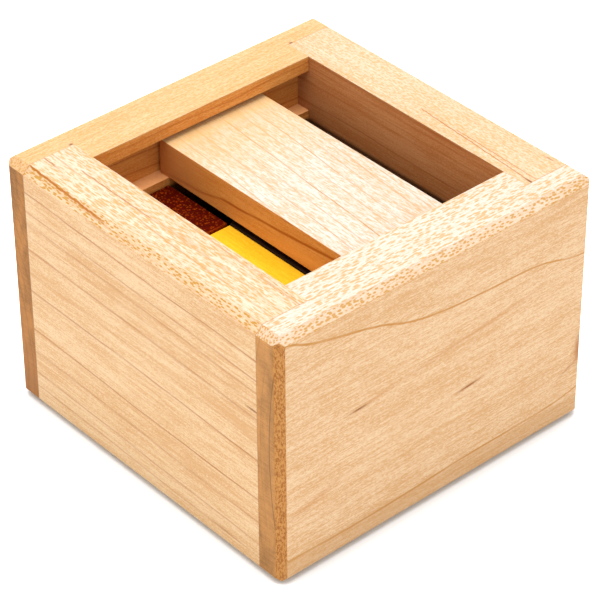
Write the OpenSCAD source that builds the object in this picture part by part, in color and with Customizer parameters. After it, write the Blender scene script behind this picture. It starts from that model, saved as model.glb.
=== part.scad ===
// Packing puzzle box: a rabbeted maple case, a slider bar captured in two
// side grooves, and a two-layer packing of glued-up hardwood pieces below it.
// Millimetres. Origin at the centre of the underside, +Z up. The slider runs
// along Y, with its grain and its length along X.

/* [Blocks] */
// Side of one cube that the puzzle pieces are made of
cube_side = 18.6; // [16:0.1:23]
// Air left between neighbouring pieces
piece_gap = 0.1; // [0.05:0.05:0.3]
// Total free width left to the pieces, side to side
side_play = 1.8; // [1.4:0.1:3]
// Total free depth left to the pieces, front to back
end_play = 1.0; // [0.6:0.1:3]
// Air between the left wall and the pieces beside it
left_air = 0.2; // [0.1:0.05:0.5]
// Air between the front wall and the pieces beside it
front_air = 0.1; // [0.05:0.05:0.3]
// How far the yellowheart piece lies to the right of its cells
yellow_shift = 0.5; // [0:0.1:0.8]
// Chamfer on the edges of the blocks
block_ease = 0.3; // [0.2:0.1:1]

/* [Case] */
// Thickness of the four walls
wall_t = 12.7; // [10:0.1:20]
// Wood left outside each corner rabbet, seen as a strip of end grain
corner_web = 6.35; // [4:0.05:7]
// Chamfer along all the outer edges of the case
edge_chamfer = 1.7; // [0.5:0.1:3]
// Thickness of the floor panel
floor_t = 7.5; // [5:0.1:12]
// How far the floor panel reaches under each wall
floor_seat = 5; // [2:0.1:6]

/* [Slider] */
// Width of the slider bar, front to back
bar_w = 26.7; // [20:0.1:32]
// Thickness of the slider bar
bar_t = 8.3; // [5:0.1:12]
// Chamfer on the edges of the slider bar
bar_ease = 0.1; // [0.1:0.1:0.6]
// Depth of the groove cut into each side wall
track_depth = 3.45; // [2:0.05:5]
// Air above the bar in its grooves
bar_top_gap = 1.5; // [0.2:0.1:1.5]
// Air between each end of the bar and the bottom of its groove
bar_end_gap = 0.75; // [0.2:0.05:1.5]
// Air between the bar at rest and a front piece that is lifted past it
pass_gap = 0.1; // [0.05:0.05:0.3]
// Air between the tops of the pieces and the underside of the bar
headroom = 1.4; // [1:0.1:4]
// Height of the lip left above each groove
lip_h = 3.5; // [2:0.1:8]

/* [Hidden] */

cells = 3; // cells along each side of the cavity
layers = 2; // cells from the floor to the tops of the pieces
beyond = 1; // how far a cutting solid passes the face that it opens

// Cavity and case
pitch = cube_side + piece_gap;
packed = cells * pitch - piece_gap;
inner_w = packed + side_play;
inner_d = packed + end_play;
case_w = inner_w + 2 * wall_t;
case_d = inner_d + 2 * wall_t;

// Heights, from the floor up
ledge_z = floor_t + layers * cube_side + headroom;
lip_z = ledge_z + bar_t + bar_top_gap;
case_h = lip_z + lip_h;

// First cell of the packing: its left, front, lower corner
cell_0 = [-inner_w / 2 + left_air, -inner_d / 2 + front_air, floor_t];

// Slider bar at rest, just behind the front row of pieces
bar_reach = inner_w / 2 + track_depth - bar_end_gap;
bar_y = cell_0.y + cube_side + pass_gap;

// Woods
MAPLE = [0.93, 0.78, 0.56];
MAPLE_BAR = [0.97, 0.84, 0.64];
PADAUK = [0.42, 0.11, 0.03];
YELLOWHEART = [0.98, 0.78, 0.10];
WENGE = [0.20, 0.11, 0.06];
WALNUT = [0.32, 0.20, 0.12];

// ---- shared shapes ----

module box_between(low, high) {
    translate(low) cube(high - low);
}

// A rectangle with its corners cut at 45 degrees
module cut_corners(size, cut) {
    polygon([
        [cut, 0], [size.x - cut, 0], [size.x, cut], [size.x, size.y - cut],
        [size.x - cut, size.y], [cut, size.y], [0, size.y - cut], [0, cut]
    ]);
}

// A box with all twelve edges chamfered at 45 degrees
module chamfered_box(low, high, cut) {
    size = high - low;
    translate(low) intersection() {
        linear_extrude(size.z) cut_corners([size.x, size.y], cut);
        translate([0, size.y, 0]) rotate([90, 0, 0])
            linear_extrude(size.y) cut_corners([size.x, size.z], cut);
        rotate([90, 0, 90])
            linear_extrude(size.x) cut_corners([size.y, size.z], cut);
    }
}

// ---- case ----

// The glued-up case is chamfered as one block, so each wall is a part of this
module case_blank() {
    chamfered_box([-case_w / 2, -case_d / 2, 0],
        [case_w / 2, case_d / 2, case_h], edge_chamfer);
}

// Where the floor panel goes, reaching below the underside by the given drop
module floor_space(drop = 0) {
    reach = [inner_w / 2 + floor_seat, inner_d / 2 + floor_seat];
    box_between([-reach.x, -reach.y, -drop], [reach.x, reach.y, floor_t]);
}

// A side wall: rabbeted at both ends, grooved for the slider inside
module side_wall() {
    outside = -case_w / 2;
    inside = -inner_w / 2;
    difference() {
        intersection() {
            case_blank();
            box_between([outside - beyond, -case_d, -beyond],
                [inside, case_d, case_h + beyond]);
        }
        for (end = [0, 1]) mirror([0, end, 0])
            box_between([outside + corner_web, inner_d / 2, -beyond],
                [inside + beyond, case_d, case_h + beyond]);
        box_between([inside - track_depth, -case_d, ledge_z],
            [inside + beyond, case_d, lip_z]);
        floor_space(beyond);
    }
}

// An end wall: a plain board between the webs of the two side walls
module end_wall() {
    reach = case_w / 2 - corner_web;
    difference() {
        intersection() {
            case_blank();
            box_between([-reach, -case_d, -beyond],
                [reach, -inner_d / 2, case_h + beyond]);
        }
        floor_space(beyond);
    }
}

module front_wall() {
    color(MAPLE) end_wall();
}

module back_wall() {
    color(MAPLE) mirror([0, 1, 0]) end_wall();
}

module left_wall() {
    color(MAPLE) side_wall();
}

module right_wall() {
    color(MAPLE) mirror([1, 0, 0]) side_wall();
}

module floor_panel() {
    color(MAPLE) floor_space();
}

// ---- slider ----

module slider_bar() {
    color(MAPLE_BAR)
        chamfered_box([-bar_reach, bar_y, ledge_z],
            [bar_reach, bar_y + bar_w, ledge_z + bar_t], bar_ease);
}

// ---- puzzle pieces ----

// Corner of the cell that is cell.x across, cell.y back and cell.z up
function corner_of(cell) =
    cell_0 + [cell.x * pitch, cell.y * pitch, cell.z * cube_side];

// A block that fills the cells from first to last. A face that is glued to
// the next block of its piece is carried across the gap and left square.
module block(first, last, glued_low = [0, 0, 0], glued_high = [0, 0, 0]) {
    across = [piece_gap, piece_gap, 0];
    low = corner_of(first) - [for (i = [0:2]) across[i] * glued_low[i]];
    high = corner_of(last) + cube_side * [1, 1, 1]
        + [for (i = [0:2]) across[i] * glued_high[i]];
    intersection() {
        chamfered_box(low - block_ease * glued_low,
            high + block_ease * glued_high, block_ease);
        box_between(low - beyond * ([1, 1, 1] - glued_low),
            high + beyond * ([1, 1, 1] - glued_high));
    }
}

// L-shaped padauk piece: an upright with a foot, in the front row
module padauk_upright() {
    color(PADAUK) block([0, 0, 0], [0, 0, 1]);
}

module padauk_foot() {
    color(PADAUK) block([1, 0, 0], [1, 0, 0], glued_low = [1, 0, 0]);
}

// L-shaped yellowheart piece, in the front row over the padauk foot
module yellowheart_stick() {
    color(YELLOWHEART) translate([yellow_shift, 0, 0])
        block([1, 0, 1], [2, 0, 1]);
}

module yellowheart_cube() {
    color(YELLOWHEART) translate([yellow_shift, 0, 0])
        block([2, 0, 0], [2, 0, 0], glued_high = [0, 0, 1]);
}

// Two-cell wenge piece with an empty cell to its left
module wenge_domino() {
    color(WENGE) block([1, 1, 1], [2, 1, 1]);
}

// L-shaped wenge piece along the back wall
module wenge_back_stick() {
    color(WENGE) block([0, 2, 1], [1, 2, 1], glued_high = [1, 0, 0]);
}

module wenge_back_upright() {
    color(WENGE) block([2, 2, 0], [2, 2, 1]);
}

// Flat five-cell walnut piece, in the lower layer
module walnut_long_stick() {
    color(WALNUT) block([0, 1, 0], [2, 1, 0]);
}

module walnut_short_stick() {
    color(WALNUT) block([0, 2, 0], [1, 2, 0], glued_low = [0, 1, 0]);
}

front_wall();
back_wall();
left_wall();
right_wall();
floor_panel();
slider_bar();
padauk_upright();
padauk_foot();
yellowheart_stick();
yellowheart_cube();
wenge_domino();
wenge_back_stick();
wenge_back_upright();
walnut_long_stick();
walnut_short_stick();
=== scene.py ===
"""Looks of the wooden puzzle box: each board, the bar and the blocks, with wood, edges, joints and light."""

import math

import bmesh
import bpy
from mathutils import Matrix, Vector, noise
from mathutils.bvhtree import BVHTree


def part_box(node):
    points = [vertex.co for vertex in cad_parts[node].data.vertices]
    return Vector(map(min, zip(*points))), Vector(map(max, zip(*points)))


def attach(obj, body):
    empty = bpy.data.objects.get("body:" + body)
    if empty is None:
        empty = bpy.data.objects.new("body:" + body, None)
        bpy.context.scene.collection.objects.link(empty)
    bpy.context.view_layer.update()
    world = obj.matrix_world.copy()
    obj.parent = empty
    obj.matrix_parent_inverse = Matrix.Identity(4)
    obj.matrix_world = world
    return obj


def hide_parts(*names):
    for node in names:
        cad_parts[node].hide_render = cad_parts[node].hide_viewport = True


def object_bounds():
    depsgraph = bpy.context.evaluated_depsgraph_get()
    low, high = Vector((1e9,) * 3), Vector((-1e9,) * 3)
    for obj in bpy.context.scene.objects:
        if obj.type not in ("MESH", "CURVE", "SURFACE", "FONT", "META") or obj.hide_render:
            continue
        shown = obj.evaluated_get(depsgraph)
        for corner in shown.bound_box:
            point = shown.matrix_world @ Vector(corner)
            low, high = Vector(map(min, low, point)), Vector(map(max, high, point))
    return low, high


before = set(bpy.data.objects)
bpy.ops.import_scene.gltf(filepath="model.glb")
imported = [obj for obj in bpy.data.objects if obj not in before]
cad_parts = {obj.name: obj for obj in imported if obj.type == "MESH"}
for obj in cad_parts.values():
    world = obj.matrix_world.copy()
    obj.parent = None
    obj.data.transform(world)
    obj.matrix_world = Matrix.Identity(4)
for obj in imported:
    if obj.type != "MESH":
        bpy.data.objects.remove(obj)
cad_low, cad_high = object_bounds()

MM = 0.001
scene = bpy.context.scene

# ---------------------------------------------------------------- places, in millimetres
CASE_X = cad_high.x / MM
CASE_Y = cad_high.y / MM
CASE_Z = cad_high.z / MM
WALL = CASE_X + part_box("left_wall")[1].x / MM
WEB = CASE_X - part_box("front_wall")[1].x / MM
BAR_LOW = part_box("slider_bar")[0] / MM
BAR_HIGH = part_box("slider_bar")[1] / MM
BLOCK_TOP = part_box("padauk_upright")[1].z / MM
OPEN_X = CASE_X - WALL
OPEN_Y = CASE_Y - WALL

# ---------------------------------------------------------------- camera, at the photograph's angle
CAMERA_PLACE = Vector((361.21, -315.34, 378.68)) * MM
CAMERA_AIM = Vector((3.741, -2.853, 29.7)) * MM
CAMERA_ROLL = math.radians(-0.356)
CAMERA_LENS = 175.26
CAMERA_SENSOR = 36.0
CAMERA_CLIP = (0.01, 20.0)


def make_camera():
    """The camera looks from its place to its aim, turned a little about its own axis."""
    data = bpy.data.cameras.new("camera")
    data.lens = CAMERA_LENS
    data.sensor_width = CAMERA_SENSOR
    data.clip_start = CAMERA_CLIP[0]
    data.clip_end = CAMERA_CLIP[1]
    camera = bpy.data.objects.new("camera", data)
    scene.collection.objects.link(camera)
    ahead = (CAMERA_AIM - CAMERA_PLACE).normalized()
    level = ahead.cross(Vector((0, 0, 1))).normalized()
    above = level.cross(ahead)
    right = level * math.cos(CAMERA_ROLL) + above * math.sin(CAMERA_ROLL)
    up = right.cross(ahead)
    turn = Matrix((right, up, -ahead)).transposed()
    camera.matrix_world = Matrix.Translation(CAMERA_PLACE) @ turn.to_4x4()
    scene.camera = camera


# ---------------------------------------------------------------- node helper
class Net:
    """Short names for the shader nodes of one material."""

    def __init__(self, name):
        self.material = bpy.data.materials.new(name)
        self.material.use_nodes = True
        self.tree = self.material.node_tree
        self.tree.nodes.clear()

    def node(self, kind, **settings):
        made = self.tree.nodes.new("ShaderNode" + kind)
        for key, value in settings.items():
            setattr(made, key, value)
        return made

    def put(self, value, socket):
        if isinstance(value, bpy.types.NodeSocket):
            self.tree.links.new(value, socket)
        else:
            socket.default_value = value

    def math(self, operation, a, b=0.0, clamp=False):
        made = self.node("Math", operation=operation, use_clamp=clamp)
        for value, socket in zip((a, b), made.inputs):
            self.put(value, socket)
        return made.outputs[0]

    def add(self, a, b):
        return self.math("ADD", a, b)

    def sub(self, a, b):
        return self.math("SUBTRACT", a, b)

    def mul(self, a, b):
        return self.math("MULTIPLY", a, b)

    def div(self, a, b):
        return self.math("DIVIDE", a, b)

    def size(self, value):
        """value without its sign."""
        return self.math("ABSOLUTE", value)

    def clamp(self, value):
        """value held in 0..1."""
        return self.math("ADD", value, 0.0, clamp=True)

    def swing(self, value, strength):
        """A value in 0..1 as one about zero, times strength."""
        return self.mul(self.sub(value, 0.5), strength)

    def fit(self, value, low, high, out_low=0.0, out_high=1.0, smooth=True):
        """value from low..high to out_low..out_high, held at the ends."""
        made = self.node("MapRange")
        made.interpolation_type = "SMOOTHSTEP" if smooth else "LINEAR"
        for item, socket in zip((value, low, high, out_low, out_high), made.inputs):
            self.put(item, socket)
        return made.outputs[0]

    def vector(self, x, y, z):
        made = self.node("CombineXYZ")
        for value, socket in zip((x, y, z), made.inputs):
            self.put(value, socket)
        return made.outputs[0]

    def stretch(self, parts, scales):
        """The vector of three numbers, each times its own scale."""
        return self.vector(*[self.mul(part, scale) for part, scale in zip(parts, scales)])

    def split(self, value):
        made = self.node("SeparateXYZ")
        self.put(value, made.inputs[0])
        return made.outputs

    def noise(self, vector, scale=1.0, detail=2.0, rough=0.5, warp=0.0):
        made = self.node("TexNoise")
        self.put(vector, made.inputs["Vector"])
        made.inputs["Scale"].default_value = scale
        made.inputs["Detail"].default_value = detail
        made.inputs["Roughness"].default_value = rough
        made.inputs["Distortion"].default_value = warp
        return made.outputs["Fac"]

    def cells(self, vector, scale=1.0, jitter=1.0):
        made = self.node("TexVoronoi")
        self.put(vector, made.inputs["Vector"])
        made.inputs["Scale"].default_value = scale
        made.inputs["Randomness"].default_value = jitter
        return made.outputs["Distance"]

    def mix(self, factor, a, b, blend="MIX"):
        """Colour a to colour b."""
        made = self.node("Mix", data_type="RGBA", blend_type=blend)
        made.clamp_factor = True
        self.put(factor, made.inputs["Factor"])
        self.put(a, made.inputs[6])
        self.put(b, made.inputs[7])
        return made.outputs[2]

    def curve(self, value, points, out_low, out_high):
        """A smooth path through points (value, result); the results lie between out_low and out_high."""
        low = points[0][0]
        high = points[-1][0]
        made = self.node("FloatCurve")
        line = made.mapping.curves[0]
        made.mapping.use_clip = False
        scaled = []
        for x, y in points:
            scaled.append(((x - low) / (high - low), (y - out_low) / (out_high - out_low)))
        line.points[0].location = scaled[0]
        line.points[-1].location = scaled[-1]
        for x, y in scaled[1:-1]:
            line.points.new(x, y)
        made.mapping.update()
        along = self.fit(value, low, high, smooth=False)
        self.put(along, made.inputs["Value"])
        return self.fit(made.outputs[0], 0.0, 1.0, out_low, out_high, smooth=False)

    def ramp(self, value, stops):
        """A number that follows stops (place, strength), all in 0..1."""
        made = self.node("ValToRGB")
        made.color_ramp.interpolation = "LINEAR"
        parts = made.color_ramp.elements
        for part, (place, strength) in zip((parts[0], parts[1]), (stops[0], stops[-1])):
            part.position = place
            part.color = tone(strength, strength, strength)
        for place, strength in stops[1:-1]:
            parts.new(place).color = tone(strength, strength, strength)
        self.put(value, made.inputs[0])
        return made.outputs[0]


def tone(*parts):
    """A colour with full alpha."""
    return (*parts, 1.0)


def scaled_colour(net, colour, factors):
    """A colour with each of its channels multiplied, so that it may also get lighter."""
    made = net.node("VectorMath", operation="MULTIPLY")
    net.put(colour, made.inputs[0])
    made.inputs[1].default_value = factors
    return made.outputs[0]


# ---------------------------------------------------------------- wood
# across one growth line: (offset in mm, share of its strength)
RING_PROFILE = ((-0.60, 0.0), (-0.22, 0.18), (-0.10, 1.0), (0.06, 1.0), (0.17, 0.0))
RINGS_IN_RAMP = 5
# along one year's growth, 0..1: where the line starts to darken and where it is darkest
RING_RISE = 0.72
RING_PEAK = 0.97

# a face counts as slanting and then as level by the size of its normal's Z
RISING = (0.30, 0.55)
LEVEL = (0.80, 0.95)

# noise stretched along the fibres: cycles per mm along and across, detail, roughness, warp, shift in mm
FIELDS = {
    "clouds": (0.030, 0.10, 3.0, 0.55, 0.5, 0.0),
    "bands": (0.010, 0.30, 3.0, 0.55, 0.2, 11.0),
    "fibres": (0.14, 3.0, 4.0, 0.62, 0.2, 23.0),
    "flecks": (1.9, 6.0, 1.5, 0.5, 0.3, 5.0),
    "slow_wander": (0.03, 0.06, 2.0, 0.5, 0.0, 31.0),
    "fast_wander": (0.16, 0.25, 2.0, 0.5, 0.0, 47.0),
    "ring_breaks": (0.09, 0.8, 3.0, 0.6, 0.0, 61.0),
    "pore_rows": (0.05, 0.22, 2.0, 0.5, 0.0, 83.0),
}
SEED_STEP = 37.0

# plain wood
CLOUD_RANGE = (0.33, 0.67)
BAND_RANGE = (0.35, 0.65)
CLOUD_SHARE = 0.55
BAND_SHARE = 0.45
FIBRE_GAIN = 3.0
FLECK_GAIN = 3.0
TOP_CALM = 0.50

# growth rings
SLOW_WANDER = 2.2
FAST_WANDER = 0.28
TOP_RING_POWER = 1.8
RING_BREAK_RANGE = (0.3, 0.62)
RING_FADE = 0.55

# open pores
PORE_EDGE = (0.30, 0.56)
PORE_JITTER = 0.9
PORE_ROW_SWING = 0.35
SLANT_PORE_LENGTH = 0.62
SLANT_PORE_SHARES = (0.92, 0.88, 0.66)

# end grain
END_LEAN = (0.30, 0.75)
END_ON_SLANT = 0.12
DOT_SCALE = 3.2
DOT_SHARE = 0.45
RAY_SCALES = (0.25, 2.6, 0.3)
RAY_SHARE = 0.55
STAIN_SCALES = (0.22, 0.06, 0.1)
END_SHADES = (1.32, 0.66)
END_SPREAD = 0.26
END_RING_STRENGTH = 0.85
END_RING_SHADE = 0.45

# glue seams
SEAM_SHADE = 0.75
SEAM_RAGGED = 0.22
SEAM_REACH = 0.14
SEAM_STRENGTH = 0.35

# how far each layer lifts the surface, and how much rougher it makes it
PORE_LIFT = -0.9
FIBRE_LIFT = 0.5
FLECK_LIFT = 0.35
DOT_LIFT = 0.8
RING_LIFT = -0.4
PORE_ROUGH = 0.18
FIBRE_ROUGH = 0.25
END_ROUGH = 0.12
SAW_SCALES = (0.2, 0.2, 4.5)
RELIEF_STRENGTH = 0.55
RELIEF_DISTANCE = 0.07 * MM

# thin lines on a wall's top, in mm: side swing, share of the width that is dark, fade at the start, and the
# heights where they begin to show and are whole
SCRATCH_WOBBLE = 0.5
SCRATCH_WOBBLE_SCALES = (0.5, 0.0, 0.0)
SCRATCH_CORE = 0.3
SCRATCH_START = 0.5
SCRATCH_HEIGHTS = (CASE_Z - 2.0, CASE_Z - 1.8)


def ring_table(net, height, rings, low, high):
    """Thin growth-ring lines at set heights: each darkens slowly on one side and stops short on the other."""
    span = high - low
    along = net.fit(height, low, high, smooth=False)
    total = None
    ordered = sorted(rings)
    for first in range(0, len(ordered), RINGS_IN_RAMP):
        stops = [(0.0, 0.0)]
        for place, strength in ordered[first:first + RINGS_IN_RAMP]:
            for offset, share in RING_PROFILE:
                stops.append(((place - low + offset) / span, strength * share))
        stops.append((1.0, 0.0))
        lines = net.ramp(along, stops)
        total = lines if total is None else net.math("MAXIMUM", total, lines)
    return total


def ring_arcs(net, v, w, middle, spacing, wander):
    """Growth rings about a pith at middle, spaced about evenly."""
    dv = net.sub(v, middle[0])
    dw = net.sub(w, middle[1])
    reach = net.math("SQRT", net.add(net.mul(dv, dv), net.mul(dw, dw)))
    year = net.math("FRACT", net.add(net.div(reach, spacing), wander))
    rise = net.fit(year, RING_RISE, RING_PEAK)
    fall = net.fit(year, RING_PEAK, 1.0, 1.0, 0.0)
    return net.mul(net.mul(rise, rise), fall)


def streak(net, place, middle, half, slope=0.0, along=0, across=2):
    """A soft mark round middle, as long and wide as half says, rising by slope along the grain."""
    gaps = [net.sub(part, at) for part, at in zip(net.split(place), middle)]
    lean = net.mul(gaps[along], slope)
    gaps[across] = net.sub(gaps[across], lean)
    sum_squares = None
    for gap, size in zip(gaps, half):
        share = net.div(gap, size)
        square = net.mul(share, share)
        sum_squares = square if sum_squares is None else net.add(sum_squares, square)
    return net.math("EXPONENT", net.mul(sum_squares, -1.0))


def scratch(net, place, start, end, width, fade):
    """A thin ragged line on top of an end wall, from start to end (x, y), fading at its right end."""
    x, y, z = net.split(place)
    slope = (end[1] - start[1]) / (end[0] - start[0])
    path = net.add(net.mul(net.sub(x, start[0]), slope), start[1])
    wobble = net.swing(net.noise(net.stretch((x, y, z), SCRATCH_WOBBLE_SCALES), 1.0, 2.0), SCRATCH_WOBBLE)
    off = net.size(net.sub(y, net.add(path, wobble)))
    mask = net.fit(off, width * SCRATCH_CORE, width, 1.0, 0.0)
    mask = net.mul(mask, net.fit(x, start[0] - SCRATCH_START, start[0] + SCRATCH_START))
    mask = net.mul(mask, net.fit(x, end[0] - fade, end[0], 1.0, 0.0))
    return net.mul(mask, net.fit(z, *SCRATCH_HEIGHTS))


class Board:
    """The wood of one board or block, laid on in layers. u runs along its fibres, v and w across them."""

    def __init__(self, net, grain, seed):
        source = net.node("TexCoord")
        scaled = net.node("VectorMath", operation="SCALE")
        net.put(source.outputs["Object"], scaled.inputs[0])
        scaled.inputs["Scale"].default_value = 1.0 / MM
        self.net = net
        self.place = scaled.outputs[0]
        self.parts = net.split(self.place)
        self.facing = net.split(source.outputs["Normal"])
        self.u = self.parts[grain]
        self.v, self.w = [self.parts[i] for i in range(3) if i != grain]
        self.shifted = net.add(self.u, seed * SEED_STEP)
        self.lean = net.size(self.facing[grain])
        self.up = net.size(self.facing[2])
        self.flat = net.fit(self.up, *LEVEL)
        self.slant = net.mul(net.fit(self.up, *RISING), net.fit(self.up, *LEVEL, 1.0, 0.0))
        self.upright = net.fit(self.up, *RISING, 1.0, 0.0)

    def field(self, name):
        """One of the noises in FIELDS."""
        along, across, detail, rough, warp, shift = FIELDS[name]
        parts = (self.net.add(self.shifted, shift), self.v, self.w)
        spot = self.net.stretch(parts, (along, across, across))
        return self.net.noise(spot, 1.0, detail, rough, warp)

    def plain(self, light, dark, figure):
        """Slow clouds and bands, then fibres and short flecks along the grain."""
        net = self.net
        clouds = net.fit(self.field("clouds"), *CLOUD_RANGE)
        bands = net.fit(self.field("bands"), *BAND_RANGE)
        self.fibres = self.field("fibres")
        self.flecks = self.field("flecks")
        blend = net.add(net.mul(clouds, CLOUD_SHARE), net.mul(bands, BAND_SHARE))
        blend = net.add(net.swing(blend, figure), 0.5)
        blend = net.add(blend, net.swing(self.fibres, FIBRE_GAIN))
        blend = net.add(blend, net.swing(self.flecks, FLECK_GAIN))
        calm = net.fit(self.up, 0.30, 0.60, 1.0, TOP_CALM)
        blend = net.add(net.swing(blend, calm), 0.5)
        self.colour = net.mix(net.clamp(blend), tone(*light), tone(*dark))

    def tint(self, mask, factors):
        """Multiplies the colour where the mask says."""
        self.colour = self.net.mix(mask, self.colour, scaled_colour(self.net, self.colour, factors))

    def rings(self, ring_lines, line, line_top):
        """Growth rings, broken here and there, and thinner on tops."""
        net = self.net
        slow = net.swing(self.field("slow_wander"), SLOW_WANDER)
        fast = net.swing(self.field("fast_wander"), FAST_WANDER)
        self.lines = ring_lines(net, self.place, net.add(slow, fast))
        shown = net.mul(self.lines, net.fit(self.field("ring_breaks"), *RING_BREAK_RANGE, RING_FADE, 1.0))
        shown = net.math("POWER", shown, net.fit(self.up, *LEVEL, 1.0, TOP_RING_POWER))
        line_colour = net.mix(net.fit(self.up, RISING[0], LEVEL[1]), tone(*line), tone(*line_top))
        self.colour = net.mix(shown, self.colour, line_colour)

    def open_pores(self, pore, strengths, size):
        """Short dark dashes along the grain, in loose rows, deeper and shorter on slanting edges."""
        net = self.net
        short = net.fit(self.slant, 0.0, 1.0, 1.0, SLANT_PORE_LENGTH, smooth=False)
        length, width = size
        dash = net.vector(
            net.div(self.shifted, net.mul(short, length)),
            net.div(self.v, width),
            net.div(self.w, width),
        )
        thick = net.swing(self.field("pore_rows"), PORE_ROW_SWING)
        pits = net.fit(net.sub(net.cells(dash, 1.0, PORE_JITTER), thick), *PORE_EDGE, 1.0, 0.0)
        on_top, on_slant, on_upright = strengths
        amount = net.add(net.mul(self.flat, on_top), net.mul(self.slant, on_slant))
        amount = net.add(amount, net.mul(self.upright, on_upright))
        self.pits = net.mul(pits, amount)
        deep = [part * share for part, share in zip(pore, SLANT_PORE_SHARES)]
        self.colour = net.mix(self.pits, self.colour, net.mix(self.slant, tone(*pore), tone(*deep)))

    def end_grain(self, end, stains):
        """Ends are darker and close-pored, with faint rays, slow stains and the growth rings' ends."""
        net = self.net
        turned = (self.v, self.w, self.u)
        self.at_end = net.mul(net.fit(self.lean, *END_LEAN), net.fit(self.slant, 0.0, 1.0, 1.0, END_ON_SLANT))
        self.dots = net.noise(self.place, DOT_SCALE, 2.0, 0.6)
        rays = net.noise(net.stretch(turned, RAY_SCALES), 1.0, 3.0, 0.6, 0.5)
        stain = net.noise(net.stretch(turned, STAIN_SCALES), 1.0, 3.0, 0.6, 0.4)
        blend = net.add(net.mul(self.dots, DOT_SHARE), net.mul(rays, RAY_SHARE))
        blend = net.add(blend, net.mul(stain, stains))
        middle = 0.5 + stains / 2.0
        shade = net.fit(blend, middle - END_SPREAD, middle + END_SPREAD, *END_SHADES, smooth=False)
        colour = net.mix(1.0, tone(*end), net.vector(shade, shade, shade), "MULTIPLY")
        ring_end = tone(*[part * END_RING_SHADE for part in end])
        colour = net.mix(net.mul(self.lines, END_RING_STRENGTH), colour, ring_end)
        self.colour = net.mix(self.at_end, self.colour, colour)

    def paint(self, marks):
        """The marks of one board, in order."""
        for mask, mark_colour in marks(self.net, self.place, self.facing):
            self.colour = self.net.mix(mask, self.colour, tone(*mark_colour))

    def seam(self, axis, at, line):
        """A faint glue line where the board's axis is at that distance from the middle."""
        net = self.net
        off = net.size(net.sub(net.size(self.parts[axis]), at))
        ragged = net.mul(net.noise(self.place, 0.9, 2.0), SEAM_RAGGED)
        mask = net.fit(net.sub(off, ragged), 0.0, SEAM_REACH, SEAM_STRENGTH, 0.0)
        self.colour = net.mix(mask, self.colour, tone(*[part * SEAM_SHADE for part in line]))

    def surface(self, gloss, shine, saw):
        """The shader: pores sink in, fibres stand a little proud, saw marks cross the ends."""
        net = self.net
        lift = net.mul(self.pits, PORE_LIFT)
        lift = net.add(lift, net.mul(self.fibres, FIBRE_LIFT))
        lift = net.add(lift, net.mul(self.flecks, FLECK_LIFT))
        lift = net.add(lift, net.mul(net.mul(self.dots, self.at_end), DOT_LIFT))
        if saw:
            cuts = net.noise(net.stretch(self.parts, SAW_SCALES), 1.0, 2.0)
            lift = net.add(lift, net.mul(net.mul(cuts, self.at_end), saw))
        lift = net.add(lift, net.mul(self.lines, RING_LIFT))
        relief = net.node("Bump")
        relief.inputs["Strength"].default_value = RELIEF_STRENGTH
        relief.inputs["Distance"].default_value = RELIEF_DISTANCE
        net.put(lift, relief.inputs["Height"])
        rough = net.add(net.mul(self.pits, PORE_ROUGH), net.swing(self.fibres, FIBRE_ROUGH))
        rough = net.add(net.add(rough, net.mul(self.at_end, END_ROUGH)), gloss)
        shader = net.node("BsdfPrincipled")
        shader.inputs["Specular IOR Level"].default_value = shine
        net.put(self.colour, shader.inputs["Base Color"])
        net.put(net.clamp(rough), shader.inputs["Roughness"])
        net.put(relief.outputs[0], shader.inputs["Normal"])
        out = net.node("OutputMaterial")
        net.put(shader.outputs[0], out.inputs[0])


def wood(name, grain, seed, ring_lines, light, dark, line, pore, end, line_top=None, pores=(0.5, 0.5, 0.1),
         pore_size=(1.15, 0.42), marks=None, figure=0.7, gloss=0.48, shine=0.2, seams=(), saw=0.0,
         stains=0.9, top=None, inner=None):
    """A wood material. grain is 0, 1 or 2 for fibres along X, Y or Z.

    pores gives how strongly the open grain shows on tops, on slanting edges and on upright faces.
    top tints the faces that look up, as painted light and sheen, and inner tints those that inner_part(net,
    place, facing) picks, as painted shade.
    ring_lines(net, place, wander) and marks(net, place, facing) add what one board has.
    """
    board = Board(Net(name), grain, seed)
    board.plain(light, dark, figure)
    # painted light and sheen: the faces that look up are tinted by top
    if top:
        board.tint(board.net.fit(board.facing[2], 0.45, 0.95), top)
    board.rings(ring_lines, line, line_top or line)
    board.open_pores(pore, pores, pore_size)
    board.end_grain(end, stains)
    if marks:
        board.paint(marks)
    # painted shade: the faces that inner_part picks are tinted darker and warmer by inner
    if inner:
        inner_part, inner_tint = inner
        board.tint(inner_part(board.net, board.place, board.facing), inner_tint)
    for axis, at in seams:
        board.seam(axis, at, line)
    board.surface(gloss, shine, saw)
    return board.net.material


# ---------------------------------------------------------------- shapes
WELD = 0.002 * MM
TOUCH = 0.05 * MM
HAIRLINE = 0.03
CASE_EASE = 0.22
BAR_EASE = 0.16
BLOCK_EASE = 0.12
EASE_SEGMENTS = 3
EDGE_ANGLE = math.radians(20)
SHARP_ANGLE = math.radians(28)
CRACK_STATIONS = 16
CRACK_WANDER = 0.22


def on_other(point, others, reach):
    """True if another board of the same body lies within reach of the point."""
    for tree in others:
        hit = tree.find_nearest(point, reach)
        if hit[0] is not None:
            return True
    return False


def shape_of(node):
    """The CAD node's mesh as a search tree."""
    mesh = bmesh.new()
    mesh.from_mesh(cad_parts[node].data)
    tree = BVHTree.FromBMesh(mesh)
    mesh.free()
    return tree


def ease_edges(mesh, edges, size, segments):
    """Rounds the edges of a mesh by size, in millimetres."""
    if edges:
        bmesh.ops.bevel(mesh, geom=edges, offset=size * MM, offset_type="OFFSET", segments=segments,
                        profile=0.5, affect="EDGES", clamp_overlap=True)


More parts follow.
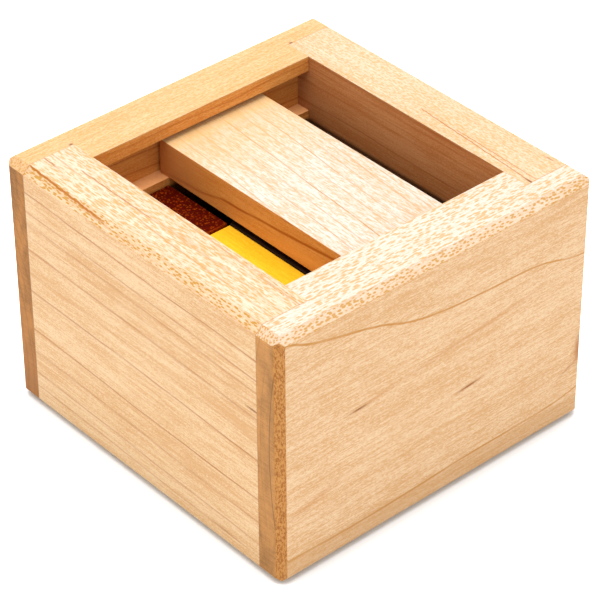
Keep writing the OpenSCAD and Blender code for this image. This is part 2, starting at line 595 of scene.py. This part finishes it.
def timber(node, body, material, ease, others=(), cracks=()):
    """A copy of a CAD board with its edges eased: exposed edges by ease, glued edges by a hairline."""
    mesh = bmesh.new()
    mesh.from_mesh(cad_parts[node].data)
    bmesh.ops.remove_doubles(mesh, verts=mesh.verts, dist=WELD)
    bmesh.ops.dissolve_limit(mesh, angle_limit=0.01, verts=mesh.verts, edges=mesh.edges)
    trees = [shape_of(other) for other in others]
    exposed = []
    glued = []
    for edge in mesh.edges:
        if len(edge.link_faces) != 2 or not edge.is_convex:
            continue
        if edge.calc_face_angle() < EDGE_ANGLE:
            continue
        middle = (edge.verts[0].co + edge.verts[1].co) / 2
        touching = on_other(middle, trees, TOUCH)
        (glued if touching else exposed).append(edge)
    ease_edges(mesh, glued, HAIRLINE, 1)
    ease_edges(mesh, [edge for edge in exposed if edge.is_valid], ease, EASE_SEGMENTS)
    data = bpy.data.meshes.new(node + "_wood")
    mesh.to_mesh(data)
    mesh.free()
    for face in data.polygons:
        face.use_smooth = True
    piece = bpy.data.objects.new(node + "_wood", data)
    scene.collection.objects.link(piece)
    data.materials.append(material)
    for crack in cracks:
        cut_crack(piece, *crack)
    piece.data.set_sharp_from_angle(angle=SHARP_ANGLE)
    flat = piece.modifiers.new("flat_faces", "WEIGHTED_NORMAL")
    flat.keep_sharp = True
    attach(piece, body)
    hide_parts(node)


def crack_mesh(start, end, depth, width, seed):
    """A thin wedge that stands in the wall's top from start to end (x, y), closing to its right."""
    mesh = bmesh.new()
    rows = []
    for i in range(CRACK_STATIONS + 1):
        t = i / CRACK_STATIONS
        x = start[0] + (end[0] - start[0]) * t
        y = start[1] + (end[1] - start[1]) * t
        y += noise.noise(Vector((x * 0.35, seed, 0.0))) * CRACK_WANDER
        half = width * 0.5 * (1.0 - 0.75 * t) * (0.7 + 0.6 * noise.noise(Vector((x * 0.8, seed, 4.0))) ** 2)
        corners = ((y - half, CASE_Z + 1.0), (y + half, CASE_Z + 1.0), (y, CASE_Z - depth * (1.0 - 0.5 * t)))
        rows.append([mesh.verts.new((x * MM, cy * MM, cz * MM)) for cy, cz in corners])
    for one, two in zip(rows, rows[1:]):
        for k in range(3):
            mesh.faces.new((one[k], one[(k + 1) % 3], two[(k + 1) % 3], two[k]))
    mesh.faces.new(rows[0])
    mesh.faces.new(reversed(rows[-1]))
    bmesh.ops.recalc_face_normals(mesh, faces=mesh.faces)
    data = bpy.data.meshes.new("crack_cutter")
    mesh.to_mesh(data)
    mesh.free()
    return data


def cut_crack(piece, start, end, depth, width, seed):
    """Cuts a crack into the top of a wall and applies the cut to the piece's mesh."""
    cutter = bpy.data.objects.new("crack_cutter", crack_mesh(start, end, depth, width, seed))
    scene.collection.objects.link(cutter)
    cut = piece.modifiers.new("crack", "BOOLEAN")
    cut.operation = "DIFFERENCE"
    cut.solver = "EXACT"
    cut.object = cutter
    bpy.context.view_layer.update()
    shaped = piece.evaluated_get(bpy.context.evaluated_depsgraph_get())
    piece.data = bpy.data.meshes.new_from_object(shaped)
    piece.modifiers.clear()
    bpy.data.objects.remove(cutter)


# ---------------------------------------------------------------- woods of the case
MAPLE_LIGHT = (0.500, 0.350, 0.198)
MAPLE_DARK = (0.405, 0.222, 0.086)
MAPLE_LINE = (0.26, 0.095, 0.022)
MAPLE_PORE = (0.365, 0.190, 0.042)
MAPLE_TOP_LINE = (0.270, 0.130, 0.036)
MAPLE_END = (0.300, 0.138, 0.040)
CRACK_BROWN = (0.24, 0.09, 0.02)
STREAK_BROWN = (0.22, 0.08, 0.02)

# growth rings: (height in mm, strength)
FRONT_RINGS = [(4.8, 0.6), (8.1, 0.8), (13.4, 0.8), (18.9, 1.0), (28.9, 1.0), (33.6, 0.25), (39.0, 1.0),
               (42.4, 0.30), (45.2, 0.7), (48.2, 0.8), (52.6, 1.0), (58.6, 0.4), (61.2, 0.7), (62.8, 0.9),
               (64.3, 1.0), (65.7, 0.7), (66.7, 0.9)]
BACK_RINGS = [(7.0, 0.4), (14.0, 0.5), (23.0, 0.5), (30.0, 0.4), (37.5, 0.6), (45.0, 0.5), (50.5, 0.6),
              (55.5, 0.6), (60.6, 0.45), (62.2, 0.3), (64.4, 0.4), (66.0, 0.75)]
WALL_RING_SPAN = (0.0, 72.0)
BAR_TOP_RINGS = [(-9.0, 0.8), (-7.6, 0.5), (-4.5, 0.9), (-1.2, 0.8), (2.4, 1.0), (4.3, 0.5), (6.4, 0.8),
                 (9.3, 0.9), (12.0, 0.7), (14.4, 0.8), (16.6, 0.7)]
BAR_RING_SPAN = (-14.0, 22.0)

# paths of single growth lines: (place along the board, height), in mm
UPPER_RING = [(-41.2, 58.6), (-38.3, 57.6), (-34.1, 55.7), (-26.9, 53.7), (-19.8, 52.0), (-14.8, 50.5),
              (-9.8, 48.5), (-5.5, 47.3), (-1.2, 46.5), (3.1, 46.0), (12.4, 45.4), (20.2, 45.1), (26.7, 44.5),
              (30.2, 43.7), (34.5, 42.4), (41.2, 41.4)]
LOWER_RING = [(-41.2, 5.9), (-19.8, 5.5), (-1.2, 6.0), (8.8, 6.4), (23.1, 6.5), (33.8, 6.9), (41.2, 8.3)]
BAR_LINE = [(-32.0, 0.4), (-28.6, 0.8), (-18.6, 1.7), (-15.1, 2.5), (-11.6, 3.4), (-6.6, 3.7), (-1.6, 4.2),
            (8.4, 5.0), (18.4, 6.0), (24.0, 6.6), (32.0, 7.4)]
FACE_HEIGHTS = (0.0, 60.0)
BAR_HEIGHTS = (-5.0, 15.0)
LEFT_PITH = (-95.0, 10.0)
LEFT_RING_SPACING = 2.1
RIGHT_RING_ARCH = 3.0
RIGHT_RING_WIDTHS = (0.11, 0.17)
BAR_LINE_HALF = 0.50
BAR_LINE_STRENGTH = 1.4
BAR_TOP_EDGE = (BAR_HIGH.z - 0.6, BAR_HIGH.z - 0.3)

# soft marks: middle and half size (x, y, z), slope along the grain, strength, colour
FRONT_STREAKS = [
    ((34.2, -CASE_Y, 39.6), (1.9, 1.2, 0.24), 0.0, 0.95, (0.14, 0.04, 0.010)),
    ((24.5, -CASE_Y, 4.3), (3.2, 1.2, 0.22), 0.0, 0.6, STREAK_BROWN),
    ((5.5, -32.6, CASE_Z), (4.0, 0.7, 2.0), 0.0, 0.45, (0.36, 0.17, 0.06)),
]
BACK_STREAKS = [
    ((31.6, 38.4, CASE_Z), (1.2, 0.20, 1.0), 0.0, 0.8, (0.20, 0.08, 0.02)),
    ((34.6, 29.9, CASE_Z), (1.2, 0.25, 1.0), 0.0, 0.9, (0.10, 0.03, 0.01)),
]
LEFT_GAPS = [
    ((-35.4, -28.9, CASE_Z), (0.45, 0.45, 1.0), 0.0, 0.9, (0.12, 0.04, 0.01)),
    ((-35.4, 29.3, CASE_Z), (0.45, 0.45, 1.0), 0.0, 0.9, (0.12, 0.04, 0.01)),
]
HALO_BROWN = (0.34, 0.145, 0.040)
RIGHT_HALOS = [
    ((CASE_X, -18.0, 34.2), (1.5, 5.0, 0.45), 0.10, 0.42, HALO_BROWN),
    ((CASE_X, 10.0, 24.5), (1.5, 5.0, 0.50), 0.10, 0.42, HALO_BROWN),
    ((CASE_X, -33.0, 17.4), (1.5, 7.0, 0.9), 0.28, 0.42, HALO_BROWN),
    ((CASE_X, 6.0, 36.6), (1.5, 17.0, 0.5), 0.09, 0.42, HALO_BROWN),
]
RIGHT_KNOT = [
    ((CASE_X, 39.1, 17.6), (1.5, 0.9, 3.4), 0.0, 0.80, (0.24, 0.080, 0.015)),
    ((CASE_X, 36.8, 14.0), (1.5, 2.2, 0.35), 0.45, 0.60, (0.26, 0.100, 0.025)),
]
MINERAL_BROWN = (0.17, 0.046, 0.002)
RIGHT_STREAKS = [
    ((CASE_X, -21.2, 33.8), (1.0, 2.1, 0.27), 0.03, 0.97, MINERAL_BROWN),
    ((CASE_X, 8.0, 24.2), (1.0, 2.6, 0.28), 0.07, 0.97, MINERAL_BROWN),
]

# thin lines on a wall's top: start and end (x, y), width, length of the fading end, strength, colour
FRONT_SCRATCHES = [
    ((-26.8, -33.1), (2.0, -33.5), 0.28, 12.0, 0.75, CRACK_BROWN),
    ((-35.2, -35.9), (-28.0, -36.0), 0.30, 5.0, 0.75, STREAK_BROWN),
    ((-35.0, -39.55), (-8.5, -40.35), 0.26, 5.0, 0.95, (0.27, 0.085, 0.003)),
]
FRONT_DASHED = [
    ((18.0, -29.2), (35.2, -29.9), 0.22, 1.0, 0.7, (0.27, 0.125, 0.035)),
    ((24.0, -30.3), (35.2, -31.0), 0.20, 1.0, 0.7, (0.27, 0.125, 0.035)),
]
BACK_SCRATCHES = [
    ((1.5, 32.1), (35.2, 29.9), 0.24, 0.4, 0.7, CRACK_BROWN),
    ((12.0, 32.0), (35.2, 31.3), 0.18, 0.4, 0.7, CRACK_BROWN),
]


def streaks(net, place, rows, along, across):
    """The masks and colours of a table of soft marks."""
    return [(net.mul(streak(net, place, middle, half, slope, along, across), strength), colour)
            for middle, half, slope, strength, colour in rows]


def scratches(net, place, rows):
    """The masks and colours of a table of thin lines."""
    return [(net.mul(scratch(net, place, start, end, width, fade), strength), colour)
            for start, end, width, fade, strength, colour in rows]


def front_rings(net, place, wander):
    """Nearly level lines on the front face that run back across its top."""
    x, y, z = net.split(place)
    height = net.add(z, net.mul(x, 0.024))
    height = net.add(height, net.mul(net.add(y, CASE_Y), 0.6))
    height = net.add(height, net.mul(wander, 0.7))
    return ring_table(net, height, FRONT_RINGS, *WALL_RING_SPAN)


def front_marks(net, place, facing):
    """A dark fleck by the right joint, a low streak, and lines and a crack along the top edge."""
    stretched = net.stretch(net.split(place), (1.1, 3.0, 0.0))
    dashes = net.fit(net.noise(stretched, 1.0, 2.0), 0.42, 0.58, 0.15, 1.0)
    dashed = [(net.mul(mask, dashes), colour) for mask, colour in scratches(net, place, FRONT_DASHED)]
    return [*streaks(net, place, FRONT_STREAKS, 0, 2), *scratches(net, place, FRONT_SCRATCHES), *dashed]


def back_rings(net, place, wander):
    """Rings that lean across the back wall."""
    x, y, z = net.split(place)
    height = net.add(z, net.mul(net.sub(CASE_Y, y), 0.55))
    height = net.add(height, net.add(net.mul(x, -0.02), wander))
    return ring_table(net, height, BACK_RINGS, *WALL_RING_SPAN)


def back_marks(net, place, facing):
    """Two long cracks by the opening, a fleck near the far corner and a darker end."""
    return [*scratches(net, place, BACK_SCRATCHES), *streaks(net, place, BACK_STREAKS, 0, 1)]


def left_rings(net, place, wander):
    """Close even rings across the left wall's top."""
    parts = net.split(place)
    arcs = ring_arcs(net, parts[0], parts[2], LEFT_PITH, LEFT_RING_SPACING, net.mul(wander, 0.45))
    return net.mul(arcs, 0.55)


def left_marks(net, place, facing):
    """Small dark gaps where the end walls' corners meet the left wall, and a browner foot on its ends."""
    height = net.split(place)[2]
    end_foot = net.mul(net.fit(net.size(facing[1]), 0.5, 0.9), net.fit(height, 3.0, 24.0, 0.55, 0.0))
    return [*streaks(net, place, LEFT_GAPS, 1, 2), (end_foot, (0.20, 0.078, 0.024))]


def right_rings(net, place, wander):
    """One growth ring arches out of the right face: two lines on the face, an arc on each end."""
    x, y, z = net.split(place)
    upper = net.curve(y, UPPER_RING, *FACE_HEIGHTS)
    lower = net.curve(y, LOWER_RING, *FACE_HEIGHTS)
    middle = net.mul(net.add(upper, lower), 0.5)
    half = net.mul(net.sub(upper, lower), 0.5)
    small = net.mul(wander, 0.12)
    share = net.div(net.sub(net.add(z, small), middle), half)
    depth = net.mul(net.sub(1.0, net.mul(share, share)), RIGHT_RING_ARCH)
    gap = net.add(net.sub(x, CASE_X), depth)
    width = net.fit(net.fit(net.sub(CASE_X, x), 0.0, 0.25), 0.0, 1.0, *RIGHT_RING_WIDTHS)
    line = net.fit(net.div(net.size(gap), width), 0.25, 1.0, 1.0, 0.0)
    inner = net.math("FRACT", net.div(net.sub(gap, 0.3), 2.6))
    inner = net.mul(net.fit(inner, 0.80, 0.98), net.fit(inner, 0.98, 1.0, 1.0, 0.0))
    inner = net.mul(inner, net.fit(x, CASE_X - 3.4, CASE_X - 4.2, 0.0, 0.35))
    return net.math("MAXIMUM", line, inner)


def right_marks(net, place, facing):
    """Two short mineral streaks in soft halos, a browner foot, a gritty corner and a knot's shadow."""
    x, y, z = net.split(place)
    corner = net.mul(net.fit(facing[0], 0.45, 0.62), net.fit(net.mul(facing[1], -1.0), 0.45, 0.62))
    speckle = net.noise(net.stretch((x, y, z), (3.2, 3.2, 1.5)), 1.0, 4.0, 0.75)
    grit = net.mul(corner, net.fit(speckle, 0.44, 0.58))
    foot = net.mul(net.fit(z, 5.4, 7.0, 0.40, 0.0), net.fit(x, CASE_X - 1.0, CASE_X))
    return [
        *streaks(net, place, RIGHT_HALOS, 1, 2),
        (net.mul(corner, 0.95), (0.37, 0.170, 0.045)),
        (net.mul(grit, 0.85), (0.190, 0.058, 0.008)),
        *streaks(net, place, RIGHT_KNOT, 1, 2),
        (foot, (0.34, 0.175, 0.060)),
        *streaks(net, place, RIGHT_STREAKS, 1, 2),
    ]


def bar_rings(net, place, wander):
    """Slanting lines on the bar's top, and one wavy line on each long side."""
    x, y, z = net.split(place)
    top = net.add(net.add(y, net.mul(x, 0.085)), net.mul(wander, 0.45))
    top_lines = net.mul(ring_table(net, top, BAR_TOP_RINGS, *BAR_RING_SPAN), net.fit(z, *BAR_TOP_EDGE))
    rise = net.curve(x, BAR_LINE, *BAR_HEIGHTS)
    gap = net.size(net.sub(net.sub(z, BAR_LOW.z), net.add(rise, net.mul(wander, 0.15))))
    side = net.math("SUBTRACT", 1.0, net.div(gap, BAR_LINE_HALF), clamp=True)
    side = net.mul(side, net.fit(z, *BAR_TOP_EDGE, BAR_LINE_STRENGTH, 0.0))
    return net.math("MAXIMUM", top_lines, side)


def bar_marks(net, place, facing):
    """The bar is warmer towards its left end, with painted light on its top near the left end against the
    lip's shade, a greyer left end and a pale patch on its front side.
    """
    x = net.split(place)[0]
    front = net.fit(facing[1], -0.5, -0.9)
    warm = net.fit(x, 0.0, -34.0, 0.0, 0.48)
    # painted light: the top near the left end is lightened against the shade of the wall's lip
    painted_end_light = net.mul(net.fit(facing[2], 0.5, 0.9), net.fit(x, -24.5, -OPEN_X, 0.0, 0.5))
    grey_end = net.mul(front, net.fit(x, -26.0, -12.0, 0.55, 0.0))
    pale = net.mul(front, streak(net, place, (9.0, BAR_LOW.y, BAR_LOW.z + 1.8), (12.0, 2.0, 1.8), 0.10))
    return [
        (warm, (0.52, 0.290, 0.090)),
        (painted_end_light, (0.68, 0.410, 0.150)),
        (grey_end, (0.36, 0.20, 0.15)),
        (net.mul(pale, 0.5), (0.62, 0.42, 0.20)),
    ]


def plain_rings(middle, spacing, strength, grain):
    """Rings about a far pith, for boards and blocks that show no particular line."""
    def lines(net, place, wander):
        parts = net.split(place)
        v, w = [parts[i] for i in range(3) if i != grain]
        return net.mul(ring_arcs(net, v, w, middle, spacing, net.mul(wander, 0.5)), strength)
    return lines


def in_case(net, place, facing):
    """The faces inside the case: the openings' sides, the tracks and what lies under them."""
    x, y, z = net.split(place)
    far_x = net.math("LESS_THAN", net.size(x), OPEN_X + 5.0)
    far_y = net.math("LESS_THAN", net.size(y), OPEN_Y + 0.1)
    below = net.fit(z, CASE_Z - 0.25, CASE_Z - 0.05, 1.0, 0.0)
    return net.mul(net.mul(far_x, far_y), below)


def off_top(net, place, facing):
    """Every face of the bar but its top."""
    return net.fit(facing[2], 0.5, 0.9, 1.0, 0.0)


def deep_marks(more):
    """The marks of one board, then painted shade that darkens the cavity below the blocks' tops and painted
    light that makes the bar's ledges paler.
    """
    def marks(net, place, facing):
        height = net.split(place)[2]
        inside = in_case(net, place, facing)
        # painted shade: inner faces below the blocks' tops are painted near-black
        low = net.mul(inside, net.fit(height, BLOCK_TOP - 1.2, BLOCK_TOP + 0.2, 0.92, 0.0))
        # painted light: the up-facing ledges under the bar are painted paler
        painted_ledge_light = net.mul(inside, net.fit(facing[2], 0.6, 0.9))
        painted_ledge_light = net.mul(painted_ledge_light, net.fit(height, BAR_LOW.z + 1.0, BAR_LOW.z + 2.0, 0.75, 0.0))
        return [*more(net, place, facing), (low, (0.050, 0.018, 0.005)), (painted_ledge_light, (0.65, 0.500, 0.450))]
    return marks


# the inside of the case is darker and warmer: no light reaches it but what the wood gives back
PAINTED_INNER_SHADE = (1.12, 0.78, 0.42)
MAPLE = dict(light=MAPLE_LIGHT, dark=MAPLE_DARK, line=MAPLE_LINE, pore=MAPLE_PORE, end=MAPLE_END,
             line_top=MAPLE_TOP_LINE)
RIGHT_MAPLE = dict(MAPLE, line=(0.33, 0.148, 0.030), light=(0.500, 0.354, 0.216), dark=(0.405, 0.226, 0.095))
LEFT_MAPLE = dict(MAPLE, end=(0.250, 0.104, 0.024))
END_WALL_SEAMS = [(0, CASE_X - WEB)]

# top= is painted light and sheen on each board's tops; inner= is painted shade on its faces inside the case
front_wood = wood(
    "maple_front", 0, 1, front_rings, **MAPLE, marks=deep_marks(front_marks), pores=(0.75, 1.0, 0.08),
    pore_size=(2.20, 0.38), seams=END_WALL_SEAMS, top=(1.02, 1.18, 1.64), inner=(in_case, PAINTED_INNER_SHADE))
back_wood = wood(
    "maple_back", 0, 2, back_rings, **MAPLE, marks=deep_marks(back_marks), pores=(0.55, 0.7, 0.06),
    seams=END_WALL_SEAMS, top=(1.0, 1.06, 1.34), inner=(in_case, (0.83, 0.52, 0.35)))
right_wood = wood(
    "maple_right", 1, 3, right_rings, **RIGHT_MAPLE, marks=deep_marks(right_marks), pores=(0.72, 0.85, 0.06),
    pore_size=(1.70, 0.46), figure=0.45, shine=0.12, saw=0.8, stains=1.3, top=(1.02, 1.27, 1.92),
    inner=(in_case, PAINTED_INNER_SHADE))
left_wood = wood(
    "maple_left", 1, 4, left_rings, **LEFT_MAPLE, marks=deep_marks(left_marks), pores=(0.45, 0.6, 0.06),
    shine=0.12, saw=0.8, stains=1.3, top=(1.0, 0.95, 0.92), inner=(in_case, (1.14, 0.72, 0.33)))
floor_wood = wood(
    "maple_floor", 0, 5, plain_rings((-60, 40), 5.0, 0.5, 0), **MAPLE, inner=(in_case, PAINTED_INNER_SHADE))
# the bar's top= is painted light and sheen; its inner= tint on every face but the top is painted shade
bar_wood = wood(
    "maple_bar", 0, 6, bar_rings, **MAPLE, marks=bar_marks, pores=(0.5, 0.5, 0.08), pore_size=(2.0, 0.36),
    figure=1.0, top=(1.0, 1.26, 2.05), inner=(off_top, (1.12, 0.76, 0.34)))


# ---------------------------------------------------------------- woods of the blocks
def end_dots(colour):
    """Scattered pale pores on the end grain of an open-pored wood."""
    def marks(net, place, facing):
        dots = net.fit(net.cells(place, 1.7), 0.14, 0.52, 1.0, 0.0)
        rows = net.noise(net.stretch(net.split(place), (0.9, 2.4, 0.0)), 1.0, 2.0)
        rows = net.fit(rows, 0.36, 0.56, 0.30, 1.0)
        on_end = net.fit(net.size(facing[2]), 0.6, 0.9)
        return [(net.mul(net.mul(dots, rows), on_end), colour)]
    return marks


PADAUK = dict(
    light=(0.26, 0.026, 0.001), dark=(0.12, 0.007, 0.0005), line=(0.05, 0.003, 0.0005),
    pore=(0.40, 0.07, 0.002), end=(0.055, 0.0020, 0.00005), marks=end_dots((0.21, 0.030, 0.0004)),
    pores=(0.8, 0.6, 0.5), pore_size=(0.6, 0.30), gloss=0.55, shine=0.02)
YELLOWHEART = dict(
    light=(0.74, 0.41, 0.018), dark=(0.60, 0.28, 0.004), line=(0.50, 0.24, 0.004),
    pore=(0.60, 0.30, 0.003), end=(0.50, 0.28, 0.01), figure=1.2, pores=(0.45, 0.25, 0.15),
    pore_size=(4.0, 0.36), gloss=0.42, shine=0.1)
WENGE = dict(
    light=(0.034, 0.012, 0.004), dark=(0.012, 0.004, 0.0015), line=(0.007, 0.002, 0.001),
    pore=(0.050, 0.018, 0.006), end=(0.018, 0.006, 0.002), pores=(0.7, 0.6, 0.5), pore_size=(2.2, 0.25),
    gloss=0.5, shine=0.06)
WALNUT = dict(
    light=(0.14, 0.070, 0.038), dark=(0.065, 0.028, 0.014), line=(0.030, 0.012, 0.006),
    pore=(0.035, 0.014, 0.007), end=(0.050, 0.022, 0.011), pores=(0.6, 0.5, 0.4), pore_size=(1.8, 0.28),
    gloss=0.45, shine=0.15)
# painted shade: the domino under the bar is a darker copy of the wenge, for the shade it lies in
DOMINO_PAINTED_SHADE = 0.55
SHADED_DOMINO_WENGE = dict(WENGE)
for part_name in ("light", "dark", "pore"):
    SHADED_DOMINO_WENGE[part_name] = [part * DOMINO_PAINTED_SHADE for part in WENGE[part_name]]

# pith (two coordinates across the grain), spacing and strength of each wood's rings
PADAUK_RINGS = ((20, -30), 2.6, 0.6)
YELLOWHEART_RINGS = ((40, 60), 3.2, 0.35)
WENGE_RINGS = ((-14, 40), 1.3, 0.9)
WALNUT_RINGS = ((30, -50), 3.4, 0.7)

# ---------------------------------------------------------------- pieces
CASE_WOODS = {"front_wall": front_wood, "back_wall": back_wood, "left_wall": left_wood,
              "right_wall": right_wood, "floor_panel": floor_wood}
# start and end (x, y), depth, width and seed of the cracks that are cut into a wall's top
CRACKS = {
    "front_wall": [((-35.0, -39.55), (-12.0, -40.25), 0.8, 0.13, 3.0)],
    "back_wall": [((6.0, 31.8), (35.0, 29.95), 0.7, 0.14, 9.0)],
}
for node, material in CASE_WOODS.items():
    glued_to = [other for other in CASE_WOODS if other != node]
    slot = "maple_floor" if node == "floor_panel" else "maple"
    timber(node, "case", material, CASE_EASE, glued_to, CRACKS.get(node, ()))

timber("slider_bar", "bar", bar_wood, BAR_EASE)

# node, body, slot, wood, rings, grain axis, seed, nodes that it is glued to
BLOCKS = [
    ("padauk_upright", "padauk_piece", "padauk", PADAUK, PADAUK_RINGS, 2, 7, ["padauk_foot"]),
    ("padauk_foot", "padauk_piece", "padauk", PADAUK, PADAUK_RINGS, 0, 8, ["padauk_upright"]),
    ("yellowheart_stick", "yellowheart_piece", "yellowheart", YELLOWHEART, YELLOWHEART_RINGS, 0, 9,
     ["yellowheart_cube"]),
    ("yellowheart_cube", "yellowheart_piece", "yellowheart", YELLOWHEART, YELLOWHEART_RINGS, 0, 10,
     ["yellowheart_stick"]),
    ("wenge_domino", "wenge_domino_piece", "wenge", SHADED_DOMINO_WENGE, WENGE_RINGS, 0, 11, []),
    ("wenge_back_stick", "wenge_back_piece", "wenge", WENGE, WENGE_RINGS, 0, 12, ["wenge_back_upright"]),
    ("wenge_back_upright", "wenge_back_piece", "wenge", WENGE, WENGE_RINGS, 2, 13, ["wenge_back_stick"]),
    ("walnut_long_stick", "walnut_piece", "walnut", WALNUT, WALNUT_RINGS, 0, 14, ["walnut_short_stick"]),
    ("walnut_short_stick", "walnut_piece", "walnut", WALNUT, WALNUT_RINGS, 0, 15, ["walnut_long_stick"]),
]
for node, body, slot, colours, rings, grain, seed, glued_to in BLOCKS:
    material = wood(node + "_wood", grain, seed, plain_rings(*rings, grain), **colours)
    timber(node, body, material, BLOCK_EASE, glued_to)


# ---------------------------------------------------------------- floor, light
FLOOR_HALF = 3.0
FLOOR_GAP = 0.02 * MM
FLOOR_SHADE_REACH = 7.0 * MM
FLOOR_OPENNESS = (0.50, 0.95)
FLOOR_SHADES = (0.66, 0.92)
SKY_STRENGTH = 1.55
LAMP_SIZE = 0.9
LAMP_POWER = 9.0
LAMP_PLACE = (-0.03, -0.05, 0.85)


def make_floor():
    """A wide white floor, a hair under the box, shaded a little where something stands close."""
    mesh = bmesh.new()
    bmesh.ops.create_grid(mesh, x_segments=1, y_segments=1, size=FLOOR_HALF)
    data = bpy.data.meshes.new("floor")
    mesh.to_mesh(data)
    mesh.free()
    floor = bpy.data.objects.new("floor", data)
    floor.location = (0, 0, cad_low.z - FLOOR_GAP)
    scene.collection.objects.link(floor)
    net = Net("floor_white")
    # painted contact shadow: the floor's colour darkens where ambient occlusion finds the box close
    near = net.node("AmbientOcclusion")
    near.samples = 8
    near.inputs["Distance"].default_value = FLOOR_SHADE_REACH
    shade = net.fit(near.outputs["AO"], *FLOOR_OPENNESS, *FLOOR_SHADES)
    shader = net.node("BsdfDiffuse")
    net.put(net.vector(shade, shade, shade), shader.inputs["Color"])
    out = net.node("OutputMaterial")
    net.put(shader.outputs[0], out.inputs[0])
    data.materials.append(net.material)


def make_light():
    """A white sky, and a large soft light above the box, a little to its front and left."""
    world = bpy.data.worlds.new("studio")
    world.use_nodes = True
    back = world.node_tree.nodes["Background"]
    back.inputs["Color"].default_value = tone(1.0, 1.0, 1.0)
    back.inputs["Strength"].default_value = SKY_STRENGTH
    scene.world = world
    data = bpy.data.lights.new("overhead", "AREA")
    data.shape = "DISK"
    data.size = LAMP_SIZE
    data.energy = LAMP_POWER
    light = bpy.data.objects.new("overhead", data)
    light.location = LAMP_PLACE
    light.rotation_mode = "QUATERNION"
    light.rotation_quaternion = Vector(LAMP_PLACE).to_track_quat("Z", "Y")
    scene.collection.objects.link(light)


make_camera()
make_floor()
make_light()
scene.view_settings.view_transform = "Standard"
